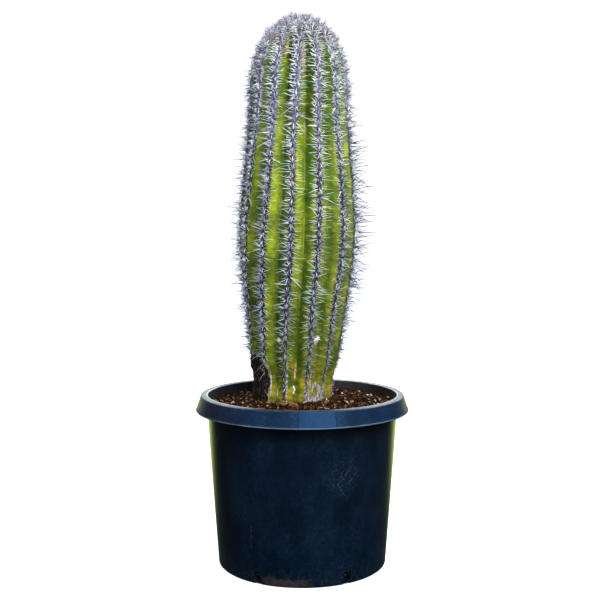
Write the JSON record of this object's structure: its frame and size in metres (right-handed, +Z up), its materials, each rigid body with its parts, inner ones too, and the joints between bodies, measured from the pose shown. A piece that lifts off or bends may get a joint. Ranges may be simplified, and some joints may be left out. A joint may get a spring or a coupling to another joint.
{
  "type": "potted saguaro cactus",
  "caption": "Upright columnar ribbed cactus with rows of spines, growing in potting mix in a round tapered plastic nursery pot with a skirted rim and drain slots.",
  "frame": {"origin": "centre of the pot's foot, on the surface that the pot stands on", "axes": "+Z up along the axis of the pot and the stem, -Y towards the side that the picture shows"},
  "size_m": [0.3, 0.3, 0.7671],
  "materials": {
    "pot_plastic": "satin",
    "potting_mix": "matte",
    "cactus_flesh": "satin"
  },
  "bodies": {
    "root": {"pot": "pot_plastic", "soil": "potting_mix", "cactus": "cactus_flesh"}
  },
  "joints": []
}
